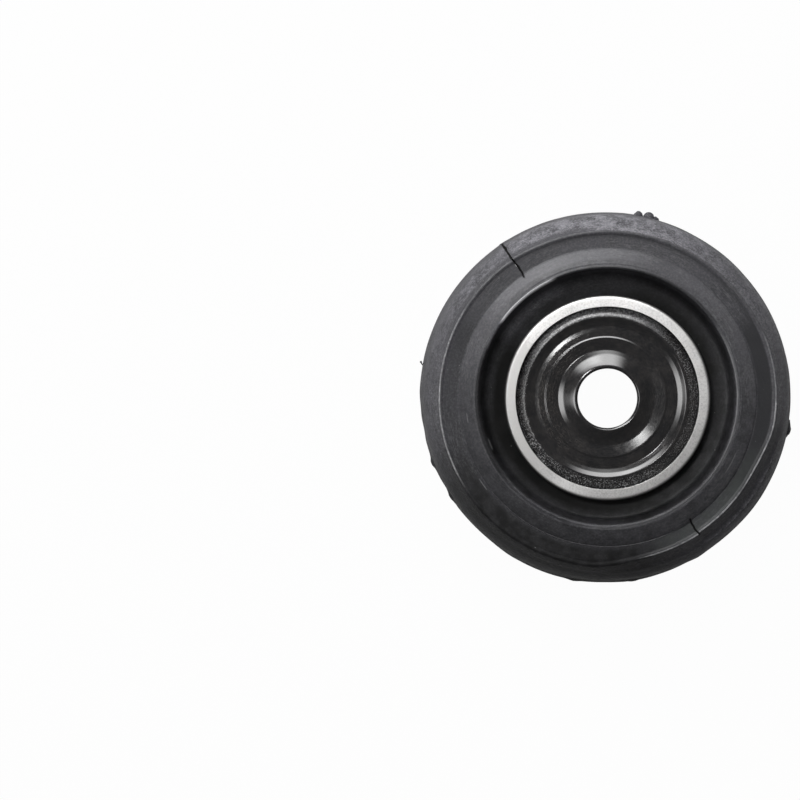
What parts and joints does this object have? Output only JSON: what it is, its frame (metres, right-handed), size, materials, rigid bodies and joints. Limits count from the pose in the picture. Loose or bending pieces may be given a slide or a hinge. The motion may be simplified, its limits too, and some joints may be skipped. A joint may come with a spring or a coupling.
{
  "type": "strut mount",
  "caption": "Strut mount: a moulded rubber bell bonded to a steel bearing seat ring and a pressed centre plate with a hole for the piston rod.",
  "frame": {"origin": "centre of the lip that the mount rests on", "axes": "+Z along the rod's axis, from the cup towards the bearing seat"},
  "size_m": [0.12, 0.12, 0.031],
  "materials": {
    "rubber": "satin moulded rubber",
    "coated_steel": "glossy black coat",
    "bare_steel": "turned bare steel"
  },
  "bodies": {
    "root": {"rubber_body": "rubber", "centre_plate": "coated_steel", "seat_ring": "bare_steel"}
  },
  "joints": []
}
